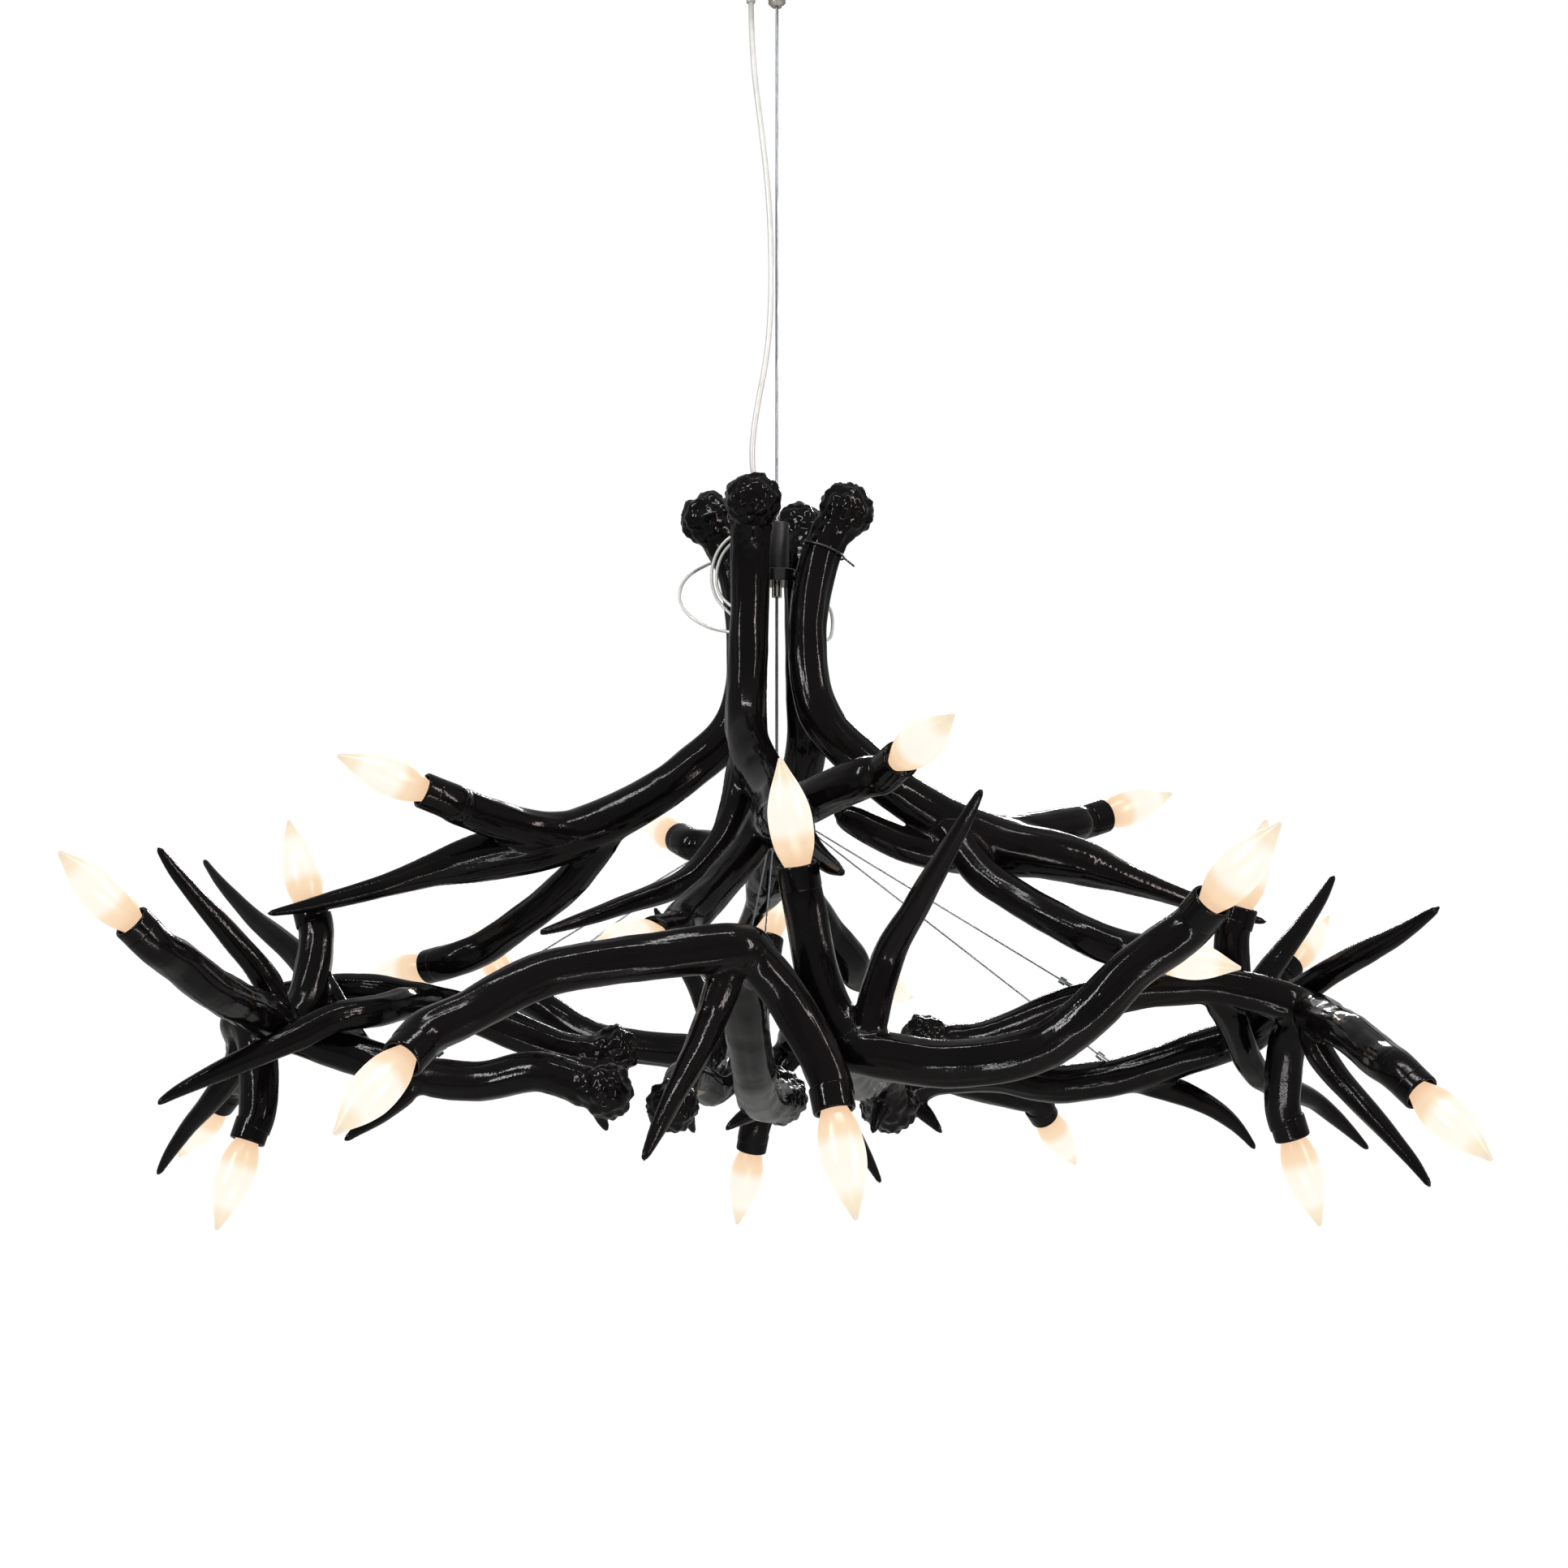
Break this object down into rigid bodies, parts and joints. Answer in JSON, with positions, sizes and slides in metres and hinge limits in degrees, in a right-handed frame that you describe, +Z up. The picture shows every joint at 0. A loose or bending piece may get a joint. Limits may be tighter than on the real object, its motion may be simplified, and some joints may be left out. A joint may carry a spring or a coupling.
{
  "type": "antler chandelier",
  "caption": "Cable-hung chandelier of glossy black cast antlers in an upper crown and a wide interlocked lower ring, with flame lamps at the cut antler ends.",
  "frame": {"origin": "middle of the ceiling fitting, on the suspension axis, at the ceiling plane", "axes": "+Z up, +X to the viewer's right, -Y towards the viewer"},
  "size_m": [1.1443, 1.2236, 1.1723],
  "materials": {
    "antler": "glossy black cast resin with fluted and pearled relief",
    "lamp": "frosted, lit warm white",
    "canopy": "satin black paint",
    "zinc": "zinc plated",
    "nickel": "nickel plated",
    "cable": "stranded steel",
    "blackened": "gloss black",
    "sleeve": "grey shrink sleeve",
    "tie": "black coated wire",
    "clear_cord": "clear jacket over tinned strands",
    "clear_plastic": "clear moulding",
    "socket": "moulded phenolic"
  },
  "bodies": {
    "fixture": {"ceiling_canopy": "canopy", "mounting_crossbar": "zinc", "canopy_studs": "zinc", "canopy_cap_nuts": "canopy", "cable_gripper": "nickel", "gripper_locknut": "zinc", "cord_strain_relief": "clear_plastic", "terminal_block": "socket", "suspension_cable": "cable", "crown_collar": "blackened", "collar_studs": "zinc", "cable_ferrules": "nickel", "splice_sleeve": "sleeve", "hanger_hub": "blackened", "hanger_anchors": "zinc", "hanger_wires": "cable", "joining_screws": "zinc", "neck_tie_wire": "tie", "power_cord": "clear_cord", "lamp_sockets": "socket", "left_lead_loop": "clear_cord", "front_lead_loop_1": "clear_cord", "front_lead_loop_2": "clear_cord", "right_lead_loop": "clear_cord", "crown_antler_1": "antler", "crown_antler_2": "antler", "crown_antler_3": "antler", "crown_antler_4": "antler", "rising_antler_1": "antler", "rising_antler_2": "antler", "rising_antler_3": "antler", "rising_antler_4": "antler", "falling_antler_1": "antler", "falling_antler_2": "antler", "falling_antler_3": "antler", "falling_antler_4": "antler"},
    "crown_lamp_1": {"crown_lamp_1": "lamp"},
    "crown_lamp_2": {"crown_lamp_2": "lamp"},
    "crown_lamp_3": {"crown_lamp_3": "lamp"},
    "crown_lamp_4": {"crown_lamp_4": "lamp"},
    "crown_lamp_5": {"crown_lamp_5": "lamp"},
    "crown_lamp_6": {"crown_lamp_6": "lamp"},
    "crown_lamp_7": {"crown_lamp_7": "lamp"},
    "crown_lamp_8": {"crown_lamp_8": "lamp"},
    "rising_lamp_1": {"rising_lamp_1": "lamp"},
    "rising_lamp_2": {"rising_lamp_2": "lamp"},
    "rising_lamp_3": {"rising_lamp_3": "lamp"},
    "rising_lamp_4": {"rising_lamp_4": "lamp"},
    "rising_lamp_5": {"rising_lamp_5": "lamp"},
    "rising_lamp_6": {"rising_lamp_6": "lamp"},
    "rising_lamp_7": {"rising_lamp_7": "lamp"},
    "rising_lamp_8": {"rising_lamp_8": "lamp"},
    "falling_lamp_1": {"falling_lamp_1": "lamp"},
    "falling_lamp_2": {"falling_lamp_2": "lamp"},
    "falling_lamp_3": {"falling_lamp_3": "lamp"},
    "falling_lamp_4": {"falling_lamp_4": "lamp"},
    "falling_lamp_5": {"falling_lamp_5": "lamp"},
    "falling_lamp_6": {"falling_lamp_6": "lamp"},
    "falling_lamp_7": {"falling_lamp_7": "lamp"},
    "falling_lamp_8": {"falling_lamp_8": "lamp"}
  },
  "joints": [
    {"name": "crown_lamp_1_unscrew", "type": "hinge", "parent": "fixture", "child": "crown_lamp_1", "pos_m": [-0.302, -0.098, -0.787], "axis": [-0.8324, -0.461, 0.3074], "range_deg": [0, 1440]},
    {"name": "crown_lamp_2_unscrew", "type": "hinge", "parent": "fixture", "child": "crown_lamp_2", "pos_m": [-0.32, 0.094, -0.927], "axis": [-0.8305, 0.5285, -0.1762], "range_deg": [0, 1440]},
    {"name": "crown_lamp_3_unscrew", "type": "hinge", "parent": "fixture", "child": "crown_lamp_3", "pos_m": [0.098, -0.302, -0.787], "axis": [0.461, -0.8324, 0.3074], "range_deg": [0, 1440]},
    {"name": "crown_lamp_4_unscrew", "type": "hinge", "parent": "fixture", "child": "crown_lamp_4", "pos_m": [-0.094, -0.32, -0.927], "axis": [-0.5285, -0.8305, -0.1762], "range_deg": [0, 1440]},
    {"name": "crown_lamp_5_unscrew", "type": "hinge", "parent": "fixture", "child": "crown_lamp_5", "pos_m": [0.302, 0.098, -0.787], "axis": [0.8324, 0.461, 0.3074], "range_deg": [0, 1440]},
    {"name": "crown_lamp_6_unscrew", "type": "hinge", "parent": "fixture", "child": "crown_lamp_6", "pos_m": [0.32, -0.094, -0.927], "axis": [0.8305, -0.5285, -0.1762], "range_deg": [0, 1440]},
    {"name": "crown_lamp_7_unscrew", "type": "hinge", "parent": "fixture", "child": "crown_lamp_7", "pos_m": [-0.098, 0.302, -0.787], "axis": [-0.461, 0.8324, 0.3074], "range_deg": [0, 1440]},
    {"name": "crown_lamp_8_unscrew", "type": "hinge", "parent": "fixture", "child": "crown_lamp_8", "pos_m": [0.094, 0.32, -0.927], "axis": [0.5285, 0.8305, -0.1762], "range_deg": [0, 1440]},
    {"name": "rising_lamp_1_unscrew", "type": "hinge", "parent": "fixture", "child": "rising_lamp_1", "pos_m": [-0.503, -0.288, -0.913], "axis": [-0.5917, -0.5036, 0.6295], "range_deg": [0, 1440]},
    {"name": "rising_lamp_2_unscrew", "type": "hinge", "parent": "fixture", "child": "rising_lamp_2", "pos_m": [-0.411, -0.009, -0.878], "axis": [-0.2744, 0.1621, 0.9479], "range_deg": [0, 1440]},
    {"name": "rising_lamp_3_unscrew", "type": "hinge", "parent": "fixture", "child": "rising_lamp_3", "pos_m": [0.31073, -0.48565, -0.913], "axis": [0.5138, -0.5828, 0.6295], "range_deg": [0, 1440]},
    {"name": "rising_lamp_4_unscrew", "type": "hinge", "parent": "fixture", "child": "rising_lamp_4", "pos_m": [0.01617, -0.39878, -0.878], "axis": [-0.1573, -0.2772, 0.9479], "range_deg": [0, 1440]},
    {"name": "rising_lamp_5_unscrew", "type": "hinge", "parent": "fixture", "child": "rising_lamp_5", "pos_m": [0.503, 0.288, -0.913], "axis": [0.5917, 0.5036, 0.6295], "range_deg": [0, 1440]},
    {"name": "rising_lamp_6_unscrew", "type": "hinge", "parent": "fixture", "child": "rising_lamp_6", "pos_m": [0.411, 0.009, -0.878], "axis": [0.2744, -0.1621, 0.9479], "range_deg": [0, 1440]},
    {"name": "rising_lamp_7_unscrew", "type": "hinge", "parent": "fixture", "child": "rising_lamp_7", "pos_m": [-0.288, 0.503, -0.913], "axis": [-0.5036, 0.5917, 0.6295], "range_deg": [0, 1440]},
    {"name": "rising_lamp_8_unscrew", "type": "hinge", "parent": "fixture", "child": "rising_lamp_8", "pos_m": [-0.009, 0.411, -0.878], "axis": [0.1621, 0.2744, 0.9479], "range_deg": [0, 1440]},
    {"name": "falling_lamp_1_unscrew", "type": "hinge", "parent": "fixture", "child": "falling_lamp_1", "pos_m": [-0.54564, 0.28538, -1.05], "axis": [-0.5738, 0.5239, -0.6295], "range_deg": [0, 1440]},
    {"name": "falling_lamp_2_unscrew", "type": "hinge", "parent": "fixture", "child": "falling_lamp_2", "pos_m": [-0.46344, 0.00334, -1.085], "axis": [-0.2799, -0.1525, -0.9479], "range_deg": [0, 1440]},
    {"name": "falling_lamp_3_unscrew", "type": "hinge", "parent": "fixture", "child": "falling_lamp_3", "pos_m": [-0.25403, -0.55198, -1.027], "axis": [-0.4633, -0.6238, -0.6295], "range_deg": [0, 1440]},
    {"name": "falling_lamp_4_unscrew", "type": "hinge", "parent": "fixture", "child": "falling_lamp_4", "pos_m": [0.04287, -0.45008, -1.062], "axis": [0.18, -0.263, -0.9479], "range_deg": [0, 1440]},
    {"name": "falling_lamp_5_unscrew", "type": "hinge", "parent": "fixture", "child": "falling_lamp_5", "pos_m": [0.49802, -0.29656, -1.047], "axis": [0.5077, -0.5882, -0.6295], "range_deg": [0, 1440]},
    {"name": "falling_lamp_6_unscrew", "type": "hinge", "parent": "fixture", "child": "falling_lamp_6", "pos_m": [0.44978, -0.00677, -1.082], "axis": [0.296, 0.1182, -0.9479], "range_deg": [0, 1440]},
    {"name": "falling_lamp_7_unscrew", "type": "hinge", "parent": "fixture", "child": "falling_lamp_7", "pos_m": [0.28713, 0.56931, -1.061], "axis": [0.4611, 0.6254, -0.6295], "range_deg": [0, 1440]},
    {"name": "falling_lamp_8_unscrew", "type": "hinge", "parent": "fixture", "child": "falling_lamp_8", "pos_m": [-0.02767, 0.45507, -1.096], "axis": [-0.1809, 0.2624, -0.9479], "range_deg": [0, 1440]}
  ]
}
